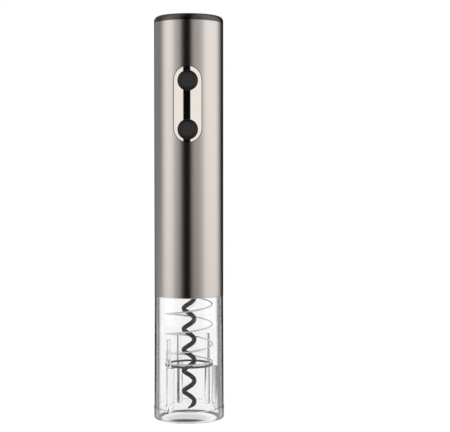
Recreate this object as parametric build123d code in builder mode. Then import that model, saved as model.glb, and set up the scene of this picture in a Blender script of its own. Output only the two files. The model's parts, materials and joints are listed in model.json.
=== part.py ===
"""Electric wine opener.

A motor and a two-stage planetary gearbox in a slim tube turn a worm inside a clear cup. A sprung
ring in the cup sits on the bottle's lip. Millimetres, +Z up, origin at the centre of the cup's
lower rim, buttons facing -Y.
"""

import os
from math import acos, ceil, cos, degrees, pi, radians, sin, sqrt, tan

from build123d import *

os.makedirs("parts", exist_ok=True)

# Driving dimensions: outer shell
body_radius = 23.0
tube_wall = 0.6
tube_length = 181.0
cup_height = 82.2
cap_height = 4.4
cap_edge = 3.2

# Clearances
slip = 0.3  # parts that push into the tube
nest = 0.2  # parts that push into each other
seat = 0.05  # parts that are pressed or glued together
run = 0.1  # bores that turn on a shaft or pin
plate_gap = 0.4  # round the plate in the tube
button_gap = 0.25  # round the buttons in their collars

# Clear cup
cup_foot_stand = 0.25  # the foot band stands out this far from the wall
cup_foot_height = 7.7
cup_foot_edge = 0.9
cup_wall = 1.7
cup_shoulder = 0.1  # the cup's top is this much inside the tube's outline
cup_draft = 0.35  # how much wider the wall is just above the foot
spigot_length = 11.0
spigot_wall = 2.2
rib_angles = (52.0, 112.0, 232.0, 352.0)
rib_thickness = 2.2
rib_bottom = 5.7
rib_lead = 5.0
rib_lead_depth = 2.2
rib_relief = 3.0  # between the ring and the upper half of a rib

# Neck ring and spring
ring_width = 2.5
ring_thickness = 1.2
ring_height = 35.2
ring_travel = 18.0
ring_bearing = 0.6  # how far each rib reaches under the ring
spring_guide = 1.0  # between the spring and the chassis collar
spring_wire = 0.5
spring_pitch = 13.4
spring_crossing = 49.4  # height at which a turn is furthest right
spring_end_turn = 0.75
spring_end_rise = 1.1
wire_sides = 6

# Worm
worm_radius = 5.0
worm_wire = 1.5
worm_pitch = 13.95
worm_crossing = 17.4  # height at which a turn is furthest left
worm_tip = 6.4
worm_point = 3.4
worm_point_end = 0.15
worm_sides = 8
shank_bend = 3.0
shank_length = 7.0

# Chuck and cork chamber
chuck_radius = 8.0
chuck_length = 15.0
chuck_edge = 1.0
chuck_entry = 1.0  # how far the chuck stands above the chamber's ceiling
chuck_gap = 2.0  # between the chuck and the gearbox lid
chamber_step = 2.0  # how far the chamber is inside the ring's outline
chamber_depth = 14.0
chamber_wall = 1.5
partition = 2.0
partition_gap = 0.6
chuck_screw_radius = 1.5
chuck_screw_length = 3.4

# Gears
gear_module = 0.7
pressure_angle = radians(25)
sun_teeth = 8
planet_teeth = 16
planet_count = 3
tooth_addendum = 0.8
tooth_dedendum = 1.0
backlash = 0.12
gear_width = 8.0
gear_gap = 0.5
carrier_thickness = 2.0
carrier_rim_gap = 0.5
pin_radius = 1.5
pin_end = 0.3
output_shaft_radius = 4.0
output_shaft_reach = 7.0  # into the chuck
gearbox_wall = 3.8
lid_thickness = 3.0
bush_wall = 2.0
bush_collar = 1.5
bush_collar_thickness = 1.0
washer_radius = 8.0
washer_thickness = 1.3
washer_gap = 0.2
plate_thickness = 2.5
gearbox_screw_radius = 0.9
gearbox_screw_head = 1.7
gearbox_screw_circle = 16.6
gearbox_screw_count = 3

# Motor
motor_space = 6.75  # between the motor and the chassis wall
can_wall = 1.0
can_front = 1.5
motor_boss_radius = 5.0
motor_boss_length = 2.0
rotor_shaft_radius = 1.15
air_gap = 0.9  # between the armature and the magnets
armature_start = 4.5  # from the can's front face
armature_slot = 2.4
armature_core = 4.2
armature_slots = 3
commutator_radius = 4.0
commutator_length = 5.0
commutator_gap = 1.5
magnet_thickness = 2.6
magnet_end_gap = 6.5
magnet_start = 4.0
magnet_span = 130.0
end_cap_thickness = 3.0
end_cap_plug = 1.5
terminal_width = 2.8
terminal_thickness = 0.5
terminal_height = 3.5
terminal_spread = 8.5
motor_screw_radius = 1.2
motor_screw_head = 2.3
motor_screw_circle = 8.0
motor_screw_count = 2

# Chassis halves
chassis_wall = 1.5
chassis_flange = 2.0
collar_wall = 2.8
collar_length = 10.0
ledge_bore = 12.0
window_width = 23.0
window_gap = 1.3  # below the button frame
window_clear = 3.2  # behind the button frame's edges
chassis_top_bore = 10.0
motor_headroom = 4.0
boss_radius = 2.4
boss_length = 6.0
boss_overlap = 0.5
chassis_screw_radius = 0.9
chassis_screw_head = 1.7
chassis_screw_head_height = 1.2
chassis_screw_bite = 4.0
cup_screw_count = 3
cup_screw_first_angle = 30.0
cup_screw_radius = 0.9
cup_screw_head = 1.8
cup_screw_head_height = 1.0
cup_screw_bite = 2.0

# Battery bay
cell_length = 50.5
cell_drop = 9.55  # from the tube's top to the cells' upper ends
cell_nub_radius = 2.75
cell_nub_height = 1.0
cell_edge = 0.5
cell_web = 0.7
cell_gap = 0.25
pack_offset = 1.2  # the cells sit this far behind the axis
holder_wall = 1.06
holder_floor = 1.5
holder_drop = 0.5  # the cells stand this much above the holder
contact_thickness = 0.4
contact_width = 8.0
cap_contact_gap = 0.6
cap_skirt_wall = 1.6
cap_ceiling = 3.0
carrier_disc_thickness = 2.0

# Panel, buttons and switches
panel_width = 17.9
panel_height = 49.2
panel_drop = 54.5  # from the tube's top to the plate's centre
button_drop = 55.05
button_spacing = 31.7
button_radius = 5.8
button_edge = 0.6
button_stand = 0.4  # how far a button stands out of the plate
button_travel = 0.8
button_flange = 1.0
button_flange_thickness = 0.8
collar_rim = 0.55
frame_thickness = 1.5
frame_margin = 1.8
board_width = 16.0
board_height = 46.0
board_thickness = 1.0
switch_size = 6.0
switch_height = 1.6
switch_clear = 0.3  # left between a pressed button and its switch
plunger_radius = 1.5
plunger_well = 0.15  # left below the plunger's stroke

# Heights and radii that follow from them
tube_inner = body_radius - tube_wall
tube_top = cup_height + tube_length
cap_top = tube_top + cap_height
panel_centre = tube_top - panel_drop
button_centre = tube_top - button_drop

spigot_radius = tube_inner - nest
spigot_inner = spigot_radius - spigot_wall
cup_top_radius = body_radius - cup_shoulder
cup_low_radius = cup_top_radius + cup_draft
cup_foot_radius = cup_low_radius + cup_foot_stand
collar_radius = spigot_inner - nest
collar_inner = collar_radius - collar_wall
ring_radius = collar_inner - spring_guide
ring_bore = ring_radius - ring_width
rib_lower_radius = ring_radius - ring_bearing
rib_upper_radius = ring_radius + rib_relief
rib_top = ring_height + ring_thickness + ring_travel

flange_bottom = cup_height + spigot_length
flange_top = flange_bottom + chassis_flange
chassis_radius = tube_inner - slip
chassis_inner = chassis_radius - chassis_wall
collar_bottom = flange_bottom - collar_length
chamber_radius = ring_radius - chamber_step
chamber_outer = chamber_radius + chamber_wall
partition_bottom = flange_bottom + chamber_depth
partition_top = partition_bottom + partition

chuck_bottom = partition_bottom + chuck_entry
chuck_top = chuck_bottom + chuck_length
lid_bottom = chuck_top + chuck_gap
lid_top = lid_bottom + lid_thickness
output_disc_bottom = lid_top + washer_thickness + washer_gap
stage2_bottom = output_disc_bottom + carrier_thickness + gear_gap
stage1_disc_bottom = stage2_bottom + gear_width + gear_gap
stage1_bottom = stage1_disc_bottom + carrier_thickness + gear_gap
plate_bottom = stage1_bottom + gear_width + gear_gap
plate_top = plate_bottom + plate_thickness

ring_teeth = sun_teeth + 2 * planet_teeth
planet_orbit = gear_module * (sun_teeth + planet_teeth) / 2
ring_tip_radius = gear_module * (ring_teeth / 2 - tooth_addendum)
ring_root_radius = gear_module * (ring_teeth / 2 + tooth_dedendum)
gearbox_radius = ring_root_radius + gearbox_wall
carrier_radius = ring_tip_radius - carrier_rim_gap

# The motor fills what the gearbox and the cells leave of the tube's length
cell_top = tube_top - cell_drop
cell_bottom = cell_top - cell_length
holder_top = cell_top - holder_drop
holder_bottom = cell_bottom - seat - contact_thickness - holder_floor
chassis_top = holder_bottom
motor_top = chassis_top - chassis_flange - motor_headroom
can_top = motor_top - end_cap_thickness
motor_length = can_top - plate_top
motor_radius = chassis_inner - motor_space
can_inner = motor_radius - can_wall
magnet_outer = can_inner - seat
magnet_length = motor_length - magnet_start - end_cap_plug - magnet_end_gap
armature_radius = magnet_outer - magnet_thickness - air_gap
armature_length = motor_length - armature_start - commutator_length - commutator_gap - end_cap_plug

cap_skirt_radius = tube_inner - slip
cap_skirt_inner = cap_skirt_radius - cap_skirt_wall
holder_radius = cap_skirt_inner
pack_radius = holder_radius - holder_wall - pack_offset
cell_radius = (pack_radius - cell_web / sqrt(2)) / (1 + sqrt(2)) - cell_gap
cell_pitch = 2 * (cell_radius + cell_gap) + cell_web
cap_contact_bottom = cell_top + cap_contact_gap
carrier_disc_bottom = cap_contact_bottom + contact_thickness

button_heights = (button_centre + button_spacing / 2, button_centre - button_spacing / 2)
panel_inner = tube_inner
frame_outer = panel_inner - run
frame_inner = frame_outer - frame_thickness
collar_bore = button_radius + button_gap
collar_outer = collar_bore + collar_rim
plate_hole = collar_outer + run
button_flange_radius = button_radius + button_flange
flange_front = sqrt(frame_inner**2 - button_flange_radius**2) - button_gap
flange_back = flange_front - button_flange_thickness
button_front = body_radius + button_stand
board_front = flange_back - button_travel - switch_clear - switch_height
holder_flat = board_front - board_thickness
frame_edge = panel_width / 2 + frame_margin
window_depth = sqrt(frame_inner**2 - frame_edge**2) - window_clear
window_bottom = panel_centre - panel_height / 2 - frame_margin - window_gap
plunger_tip = board_front + plunger_well + button_travel


def radial_plane(angle, radius, height):
    """A plane whose normal points straight out from the axis."""
    out = Vector(cos(angle), sin(angle), 0)
    return Plane(origin=out * radius + Vector(0, 0, height), x_dir=(0, 0, 1), z_dir=out)


def rib_plane(angle):
    """An upright plane through the axis: local x is the radius, local y the height."""
    return Plane(origin=(0, 0, 0), x_dir=(cos(angle), sin(angle), 0), z_dir=(sin(angle), -cos(angle), 0))


def helix_state(radius, pitch, crossing, crossing_angle, height):
    """Point and direction of a right-hand helix at a height."""
    angle = crossing_angle + 2 * pi * (height - crossing) / pitch
    point = Vector(radius * cos(angle), radius * sin(angle), height)
    along = Vector(-radius * sin(angle), radius * cos(angle), pitch / (2 * pi))
    return point, along.normalized()


def biarc(start, start_along, end, end_along):
    """Join two points by two tangent arcs that keep both directions."""
    span = end - start
    reach = span.dot(start_along + end_along)
    bend = 2 * (1 - start_along.dot(end_along))
    arm = (-reach + sqrt(reach**2 + bend * span.dot(span))) / bend
    first_corner = start + start_along * arm
    second_corner = end - end_along * arm
    middle = (first_corner + second_corner) * 0.5
    TangentArc(start, middle, tangent=start_along)
    TangentArc(middle, end, tangent=(second_corner - first_corner).normalized())


def helix_arcs(state, bottom, top, pitch):
    """Draw a helix from bottom to top as arcs, a quarter turn or less at a time."""
    spans = ceil(4 * (top - bottom) / pitch)
    for span in range(spans):
        low = state(bottom + (top - bottom) * span / spans)
        high = state(bottom + (top - bottom) * (span + 1) / spans)
        biarc(*low, *high)


def least_gap(points, wire):
    """Smallest free space between stretches of a coil that are over half a turn apart."""
    gaps = []
    half_turn = len(points) // 12
    for index, point in enumerate(points):
        for other in points[index + half_turn :]:
            gaps.append((point - other).length - 2 * wire)
    return min(gaps)


def involute(angle):
    return tan(angle) - angle


def tooth_half_angle(teeth, radius, thickening):
    """Half of a tooth's angle at a radius, along a true involute above the base circle."""
    pitch_radius = gear_module * teeth / 2
    base_radius = pitch_radius * cos(pressure_angle)
    roll = acos(min(1, base_radius / radius))
    pitch_half = pi / (2 * teeth) + thickening / (2 * pitch_radius)
    return pitch_half + involute(pressure_angle) - involute(roll)


def gear_outline(teeth, tip_radius, root_radius, thickening, phase):
    """Face of a gear: an arc for each flank, straight lands at tip and root."""

    def at(radius, angle):
        return (radius * cos(angle), radius * sin(angle))

    radii = (root_radius, (root_radius + tip_radius) / 2, tip_radius)
    halves = [tooth_half_angle(teeth, radius, thickening) for radius in radii]
    with BuildLine() as outline:
        for tooth in range(teeth):
            middle = phase + 2 * pi * tooth / teeth
            rising = [at(radius, middle - half) for radius, half in zip(radii, halves)]
            falling = [at(radius, middle + half) for radius, half in zip(radii, halves)]
            ThreePointArc(*rising)
            Line(rising[-1], falling[-1])
            ThreePointArc(*reversed(falling))
            Line(falling[0], at(root_radius, middle + 2 * pi / teeth - halves[0]))
    make_face(outline.edges())


def outer_gear(teeth, phase):
    """Face of a sun or planet gear, thinned for backlash."""
    pitch_radius = gear_module * teeth / 2
    tip_radius = pitch_radius + tooth_addendum * gear_module
    root_radius = pitch_radius - tooth_dedendum * gear_module
    gear_outline(teeth, tip_radius, root_radius, -backlash, phase)


def planet_phase(angle):
    """Turn a planet so that its teeth fall between the sun's."""
    sun_step = angle * sun_teeth / (2 * pi)
    return angle + pi - 2 * pi / planet_teeth * (0.5 - sun_step)


planet_angles = [2 * pi * number / planet_count for number in range(planet_count)]
planet_centres = [(planet_orbit * cos(angle), planet_orbit * sin(angle)) for angle in planet_angles]
ring_phase = -2 * pi / ring_teeth * (-planet_phase(0) * planet_teeth / (2 * pi) - 0.5)

# Body tube with the opening for the plate
with BuildPart() as body_tube:
    with BuildSketch(Plane.XY.offset(cup_height)):
        Circle(body_radius)
        Circle(tube_inner, mode=Mode.SUBTRACT)
    extrude(amount=tube_length)
    with BuildSketch(Plane.XZ):
        with Locations((0, panel_centre)):
            SlotOverall(panel_height + 2 * plate_gap, panel_width + 2 * plate_gap, rotation=90)
    extrude(amount=body_radius + slip, mode=Mode.SUBTRACT)
body_tube.part.label = "body_tube"
export_step(body_tube.part, "parts/body_tube.step")

# Top cap, which pulls off to change the cells
with BuildPart() as top_cap:
    with BuildSketch(Plane.XZ):
        with BuildLine():
            Polyline(
                (0, cap_top),
                (body_radius, cap_top),
                (body_radius, tube_top),
                (cap_skirt_radius, tube_top),
                (cap_skirt_radius, carrier_disc_bottom),
                (cap_skirt_inner, carrier_disc_bottom),
                (cap_skirt_inner, cap_top - cap_ceiling),
                (0, cap_top - cap_ceiling),
                close=True,
            )
        make_face()
    revolve(axis=Axis.Z)
    fillet(top_cap.edges().filter_by(GeomType.CIRCLE).sort_by(Axis.Z)[-1], cap_edge)
top_cap.part.label = "top_cap"
export_step(top_cap.part, "parts/top_cap.step")

# Disc inside the cap that carries the upper contacts
with BuildPart() as contact_carrier:
    with BuildSketch(Plane.XY.offset(carrier_disc_bottom)):
        Circle(cap_skirt_inner - seat)
    extrude(amount=carrier_disc_thickness)
contact_carrier.part.label = "contact_carrier"
export_step(contact_carrier.part, "parts/contact_carrier.step")

# Upper contacts, one for each side-by-side pair of cells
with BuildPart() as cap_contacts:
    with BuildSketch(Plane.XY.offset(cap_contact_bottom)):
        with Locations((-cell_pitch / 2, pack_offset), (cell_pitch / 2, pack_offset)):
            SlotCenterToCenter(cell_pitch, contact_width, rotation=90)
    extrude(amount=contact_thickness)
cap_contacts.part.label = "cap_contacts"
export_step(cap_contacts.part, "parts/cap_contacts.step")

# Polished plate round the buttons, bent to the tube
with BuildPart() as button_panel:
    with BuildSketch(Plane.XZ):
        with Locations((0, panel_centre)):
            SlotOverall(panel_height, panel_width, rotation=90)
        with Locations(*[(0, height) for height in button_heights]):
            Circle(plate_hole, mode=Mode.SUBTRACT)
    extrude(amount=body_radius + slip)
    with BuildSketch(Plane.XY.offset(panel_centre)):
        Circle(body_radius)
        Circle(panel_inner, mode=Mode.SUBTRACT)
    extrude(amount=panel_height, both=True, mode=Mode.INTERSECT)
button_panel.part.label = "button_panel"
export_step(button_panel.part, "parts/button_panel.step")

# Collars of the button frame, cut to the tube's round
with BuildPart() as button_collars:
    with BuildSketch(Plane.XZ):
        with Locations(*[(0, height) for height in button_heights]):
            Circle(collar_outer)
            Circle(collar_bore, mode=Mode.SUBTRACT)
    extrude(amount=body_radius + slip)
    with BuildSketch(Plane.XY.offset(panel_centre)):
        Circle(body_radius - seat)
        Circle(frame_inner, mode=Mode.SUBTRACT)
    extrude(amount=panel_height, both=True, mode=Mode.INTERSECT)

# Black frame behind the plate
with BuildPart() as button_frame:
    with BuildSketch(Plane.XZ):
        with Locations((0, panel_centre)):
            SlotOverall(panel_height + 2 * frame_margin, panel_width + 2 * frame_margin, rotation=90)
        with Locations(*[(0, height) for height in button_heights]):
            Circle(collar_bore, mode=Mode.SUBTRACT)
    extrude(amount=body_radius + slip)
    with BuildSketch(Plane.XY.offset(panel_centre)):
        Circle(frame_outer)
        Circle(frame_inner, mode=Mode.SUBTRACT)
    extrude(amount=panel_height, both=True, mode=Mode.INTERSECT)
    add(button_collars.part)
button_frame.part.label = "button_frame"
export_step(button_frame.part, "parts/button_frame.step")

# Buttons: the upper one drives the worm in, the lower one backs it out
for name, height in zip(("extract", "eject"), button_heights):
    with BuildPart() as button:
        with BuildSketch(Plane.XZ.offset(flange_back)):
            with Locations((0, height)):
                Circle(button_flange_radius)
        extrude(amount=button_flange_thickness)
        with BuildSketch(Plane.XZ.offset(flange_front)):
            with Locations((0, height)):
                Circle(button_radius)
        extrude(amount=button_front - flange_front)
        fillet(button.edges().filter_by(GeomType.CIRCLE).sort_by(Axis.Y)[0], button_edge)
    button.part.label = f"{name}_button"
    export_step(button.part, f"parts/{name}_button.step")

    with BuildPart() as plunger:
        with BuildSketch(Plane.XZ.offset(plunger_tip)):
            with Locations((0, height)):
                Circle(plunger_radius)
        extrude(amount=flange_back - plunger_tip)
    plunger.part.label = f"{name}_plunger"
    export_step(plunger.part, f"parts/{name}_plunger.step")

    with BuildPart() as switch:
        with BuildSketch(Plane.XZ.offset(board_front)):
            with Locations((0, height)):
                Rectangle(switch_size, switch_size)
        extrude(amount=switch_height)
        with BuildSketch(Plane.XZ.offset(board_front + plunger_well / 2)):
            with Locations((0, height)):
                Circle(plunger_radius + run)
        extrude(amount=switch_height, mode=Mode.SUBTRACT)
    switch.part.label = f"{name}_switch"
    export_step(switch.part, f"parts/{name}_switch.step")

# Switch board on the front face of the battery holder
with BuildPart() as switch_board:
    with BuildSketch(Plane.XZ.offset(holder_flat)):
        with Locations((0, button_centre)):
            Rectangle(board_width, board_height)
    extrude(amount=board_thickness)
switch_board.part.label = "switch_board"
export_step(switch_board.part, "parts/switch_board.step")

# Clear cup: foot band, drafted wall, spigot and guide ribs
cup_screw_angles = [
    radians(cup_screw_first_angle + 360 * number / cup_screw_count) for number in range(cup_screw_count)
]
cup_screw_height = flange_bottom - collar_length / 2
cup_screw_planes = [
    radial_plane(angle, spigot_radius - cup_screw_head_height, cup_screw_height) for angle in cup_screw_angles
]
with BuildPart() as clear_cup:
    with BuildSketch(Plane.XZ):
        with BuildLine():
            Polyline(
                (cup_low_radius - cup_wall, 0),
                (cup_foot_radius, 0),
                (cup_foot_radius, cup_foot_height),
                (cup_low_radius, cup_foot_height + cup_foot_radius - cup_low_radius),
                (cup_top_radius, cup_height),
                (spigot_radius, cup_height),
                (spigot_radius, flange_bottom),
                (spigot_inner, flange_bottom),
                (spigot_inner, cup_height + spigot_wall),
                (cup_top_radius - cup_wall, cup_height),
                close=True,
            )
        make_face()
    revolve(axis=Axis.Z)
    foot_edges = clear_cup.edges().filter_by(GeomType.CIRCLE).filter_by_position(Axis.Z, -seat, seat)
    fillet(foot_edges.sort_by(SortBy.RADIUS)[-1], cup_foot_edge)
    for angle in rib_angles:
        with BuildSketch(rib_plane(radians(angle))):
            with BuildLine():
                Polyline(
                    (cup_low_radius - cup_wall / 2, rib_bottom),
                    (rib_lower_radius + rib_lead_depth, rib_bottom),
                    (rib_lower_radius, rib_bottom + rib_lead),
                    (rib_lower_radius, ring_height),
                    (rib_upper_radius, ring_height),
                    (rib_upper_radius, rib_top),
                    (cup_top_radius - cup_wall / 2, rib_top),
                    close=True,
                )
            make_face()
        extrude(amount=rib_thickness / 2, both=True)
    with BuildSketch(*cup_screw_planes):
        Circle(cup_screw_radius + run)
    extrude(amount=-spigot_wall, mode=Mode.SUBTRACT)
    with BuildSketch(*cup_screw_planes):
        Circle(cup_screw_head + run)
    extrude(amount=2 * cup_screw_head_height, mode=Mode.SUBTRACT)
clear_cup.part.label = "clear_cup"
export_step(clear_cup.part, "parts/clear_cup.step")

# Screws through the spigot into the chassis collar
with BuildPart() as cup_screws:
    with BuildSketch(*cup_screw_planes):
        Circle(cup_screw_head)
    extrude(amount=cup_screw_head_height)
    with BuildSketch(*cup_screw_planes):
        Circle(cup_screw_radius)
    extrude(amount=-(spigot_wall - cup_screw_head_height + nest + cup_screw_bite))
cup_screws.part.label = "cup_screws"
export_step(cup_screws.part, "parts/cup_screws.step")

# Neck ring, which the bottle's lip lifts
with BuildPart() as neck_ring:
    with BuildSketch(Plane.XY.offset(ring_height)):
        Circle(ring_radius)
        Circle(ring_bore, mode=Mode.SUBTRACT)
    extrude(amount=ring_thickness)
neck_ring.part.label = "neck_ring"
export_step(neck_ring.part, "parts/neck_ring.step")

# Spring between the ring and the chassis, with a closed turn at each end
spring_radius = ring_radius - spring_wire
spring_bottom = ring_height + ring_thickness + spring_wire + run
spring_top = flange_bottom - spring_wire - run
coil_bottom = spring_bottom + spring_end_rise
coil_top = spring_top - spring_end_rise
end_pitch = spring_end_rise / spring_end_turn


def spring_state(height):
    return helix_state(spring_radius, spring_pitch, spring_crossing, 0, height)


def end_state(joint):
    """A nearly flat end turn that carries on from the spring's turns at a height."""
    angle = 2 * pi * (joint - spring_crossing) / spring_pitch
    return lambda height: helix_state(spring_radius, end_pitch, joint, angle, height)


with BuildPart() as neck_spring:
    with BuildLine() as spring_path:
        lower_turn = end_state(coil_bottom)
        upper_turn = end_state(coil_top)
        ease = end_pitch / 8
        helix_arcs(lower_turn, spring_bottom, coil_bottom - ease, end_pitch)
        biarc(*lower_turn(coil_bottom - ease), *spring_state(coil_bottom + spring_pitch / 8))
        helix_arcs(spring_state, coil_bottom + spring_pitch / 8, coil_top - spring_pitch / 8, spring_pitch)
        biarc(*spring_state(coil_top - spring_pitch / 8), *upper_turn(coil_top + ease))
        helix_arcs(upper_turn, coil_top + ease, spring_top, end_pitch)
    spring_line = spring_path.wire()
    with BuildSketch(Plane(origin=spring_line @ 0, z_dir=spring_line % 0)):
        RegularPolygon(spring_wire, wire_sides)
    sweep(clean=False)
spring_turns = round(2 * spring_end_turn + (coil_top - coil_bottom) / spring_pitch)
spring_points = [spring_line @ (step / (24 * spring_turns)) for step in range(24 * spring_turns + 1)]
print("spring: least gap to itself", round(least_gap(spring_points, spring_wire), 2))
neck_spring.part.label = "neck_spring"
export_step(neck_spring.part, "parts/neck_spring.step")

# Worm: pointed tip, open helix and a straight shank in the chuck
worm_coil_radius = worm_radius - worm_wire


def worm_state(height):
    return helix_state(worm_coil_radius, worm_pitch, worm_crossing, pi, height)


worm_slope = worm_pitch / sqrt(worm_pitch**2 + (2 * pi * worm_coil_radius) ** 2)
coil_start = worm_tip + worm_point * worm_slope
coil_end = chuck_bottom - shank_bend * sqrt(1 - worm_slope**2) - seat
bend_start, bend_along = worm_state(coil_end)
level = Vector(bend_along.X, bend_along.Y, 0).normalized()
shank_foot = bend_start + level * shank_bend * (1 - worm_slope) + Vector(0, 0, chuck_bottom - seat - coil_end)
shank_head = shank_foot + Vector(0, 0, shank_length)
with BuildPart() as worm:
    with BuildLine() as worm_path:
        helix_arcs(worm_state, coil_start, coil_end, worm_pitch)
        TangentArc(bend_start, shank_foot, tangent=bend_along)
        Line(shank_foot, shank_head)
    worm_line = worm_path.wire()
    with BuildSketch(Plane(origin=worm_line @ 0, z_dir=worm_line % 0)):
        RegularPolygon(worm_wire, worm_sides)
    coil = sweep(clean=False, mode=Mode.PRIVATE)
    tip_plane = Plane(origin=worm_line @ 0, z_dir=(worm_line % 0) * -1)
    with BuildSketch(tip_plane):
        RegularPolygon(worm_wire, worm_sides)
    with BuildSketch(tip_plane.offset(worm_point)):
        RegularPolygon(worm_point_end, worm_sides)
    point = loft(clean=False, mode=Mode.PRIVATE)
    skin = [face for face in coil.faces() + point.faces() if (face.center() - tip_plane.origin).length > seat]
    add(Solid(Shell(skin)), clean=False)
worm_turns = ceil((coil_end - coil_start) / worm_pitch)
worm_points = [worm_line @ (step / (24 * worm_turns)) for step in range(24 * worm_turns + 1)]
print("worm: least gap to itself", round(least_gap(worm_points, worm_wire), 2))
worm.part.label = "worm"
export_step(worm.part, "parts/worm.step")

# Chuck that joins the worm to the output shaft
chuck_screw_height = chuck_top - output_shaft_reach / 2
chuck_screw_plane = radial_plane(-pi / 2, output_shaft_radius + seat, chuck_screw_height)
with BuildPart() as worm_chuck:
    with BuildSketch(Plane.XY.offset(chuck_bottom)):
        Circle(chuck_radius)
    extrude(amount=chuck_length)
    chamfer(worm_chuck.edges().sort_by(Axis.Z)[0], chuck_edge)
    with BuildSketch(Plane.XY.offset(chuck_top - output_shaft_reach - seat)):
        Circle(output_shaft_radius + seat)
    extrude(amount=output_shaft_reach + slip, mode=Mode.SUBTRACT)
    with BuildSketch(Plane.XY.offset(chuck_bottom - slip)):
        with Locations((shank_foot.X, shank_foot.Y)):
            Circle(worm_wire + seat)
    extrude(amount=shank_length + slip, mode=Mode.SUBTRACT)
    with BuildSketch(chuck_screw_plane):
        Circle(chuck_screw_radius + seat)
    extrude(amount=chuck_radius, mode=Mode.SUBTRACT)
worm_chuck.part.label = "worm_chuck"
export_step(worm_chuck.part, "parts/worm_chuck.step")

# Grub screw that holds the chuck on the shaft
with BuildPart() as chuck_screw:
    with BuildSketch(chuck_screw_plane):
        Circle(chuck_screw_radius)
    extrude(amount=chuck_screw_length)
    with BuildSketch(chuck_screw_plane.offset(chuck_screw_length)):
        RegularPolygon(chuck_screw_radius / 2, 6)
    extrude(amount=-chuck_screw_length / 2, mode=Mode.SUBTRACT)
chuck_screw.part.label = "chuck_screw"
export_step(chuck_screw.part, "parts/chuck_screw.step")

# Output carrier: disc, three planet pins and the shaft down to the chuck
with BuildPart() as output_carrier:
    with BuildSketch(Plane.XY.offset(output_disc_bottom)):
        Circle(carrier_radius)
    extrude(amount=carrier_thickness)
    with BuildSketch(Plane.XY.offset(output_disc_bottom + carrier_thickness)):
        with Locations(*planet_centres):
            Circle(pin_radius)
    extrude(amount=gear_gap + gear_width + pin_end)
    with BuildSketch(Plane.XY.offset(chuck_top - output_shaft_reach)):
        Circle(output_shaft_radius)
    extrude(amount=output_disc_bottom - chuck_top + output_shaft_reach)
output_carrier.part.label = "output_carrier"
export_step(output_carrier.part, "parts/output_carrier.step")

# First-stage carrier: disc, three planet pins and the second sun below it
with BuildPart() as stage1_carrier:
    with BuildSketch(Plane.XY.offset(stage1_disc_bottom)):
        Circle(carrier_radius)
    extrude(amount=carrier_thickness)
    with BuildSketch(Plane.XY.offset(stage1_disc_bottom + carrier_thickness)):
        with Locations(*planet_centres):
            Circle(pin_radius)
    extrude(amount=gear_gap + gear_width + pin_end)
    with BuildSketch(Plane.XY.offset(stage2_bottom)):
        outer_gear(sun_teeth, 0)
    extrude(amount=gear_width + gear_gap)
stage1_carrier.part.label = "stage1_carrier"
export_step(stage1_carrier.part, "parts/stage1_carrier.step")

# Planet gears of both stages
for stage, bottom in (("stage1", stage1_bottom), ("stage2", stage2_bottom)):
    for number, (angle, centre) in enumerate(zip(planet_angles, planet_centres), 1):
        with BuildPart() as planet:
            with BuildSketch(Plane(origin=(*centre, bottom))):
                outer_gear(planet_teeth, planet_phase(angle))
                Circle(pin_radius + run, mode=Mode.SUBTRACT)
            extrude(amount=gear_width)
        planet.part.label = f"{stage}_planet_{number}"
        export_step(planet.part, f"parts/{stage}_planet_{number}.step")

# Motor pinion, the first sun
with BuildPart() as motor_pinion:
    with BuildSketch(Plane.XY.offset(stage1_bottom)):
        outer_gear(sun_teeth, 0)
        Circle(rotor_shaft_radius + seat, mode=Mode.SUBTRACT)
    extrude(amount=gear_width)
motor_pinion.part.label = "motor_pinion"
export_step(motor_pinion.part, "parts/motor_pinion.step")

# Ring gear, which is also the gearbox wall
with BuildPart() as ring_gear:
    with BuildSketch(Plane.XY.offset(lid_top)):
        Circle(gearbox_radius)
    extrude(amount=plate_bottom - lid_top)
    with BuildSketch(Plane.XY.offset(lid_top)):
        gear_outline(ring_teeth, ring_root_radius, ring_tip_radius, backlash, ring_phase + pi / ring_teeth)
    extrude(amount=plate_bottom - lid_top, mode=Mode.SUBTRACT)
    with BuildSketch(Plane.XY.offset(lid_top)):
        with PolarLocations(gearbox_screw_circle, gearbox_screw_count):
            Circle(gearbox_screw_radius + run)
    extrude(amount=plate_bottom - lid_top, mode=Mode.SUBTRACT)
ring_gear.part.label = "ring_gear"
export_step(ring_gear.part, "parts/ring_gear.step")

# Gearbox lid with the output bush's bore
bush_radius = output_shaft_radius + run + bush_wall
with BuildPart() as gearbox_lid:
    with BuildSketch(Plane.XY.offset(lid_bottom)):
        Circle(gearbox_radius)
        Circle(bush_radius + seat, mode=Mode.SUBTRACT)
        with PolarLocations(gearbox_screw_circle, gearbox_screw_count):
            Circle(gearbox_screw_radius + seat, mode=Mode.SUBTRACT)
    extrude(amount=lid_thickness)
gearbox_lid.part.label = "gearbox_lid"
export_step(gearbox_lid.part, "parts/gearbox_lid.step")

# Collared bush that carries the output shaft
with BuildPart() as output_bush:
    with BuildSketch(Plane.XY.offset(lid_bottom)):
        Circle(bush_radius)
    extrude(amount=lid_thickness)
    with BuildSketch(Plane.XY.offset(lid_bottom)):
        Circle(bush_radius + bush_collar)
    extrude(amount=-bush_collar_thickness)
    with BuildSketch(Plane.XY.offset(lid_bottom)):
        Circle(output_shaft_radius + run)
    extrude(amount=lid_thickness, both=True, mode=Mode.SUBTRACT)
output_bush.part.label = "output_bush"
export_step(output_bush.part, "parts/output_bush.step")

# Washer that takes the pull of the cork
with BuildPart() as thrust_washer:
    with BuildSketch(Plane.XY.offset(lid_top)):
        Circle(washer_radius)
        Circle(output_shaft_radius + 2 * run, mode=Mode.SUBTRACT)
    extrude(amount=washer_thickness)
thrust_washer.part.label = "thrust_washer"
export_step(thrust_washer.part, "parts/thrust_washer.step")

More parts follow.
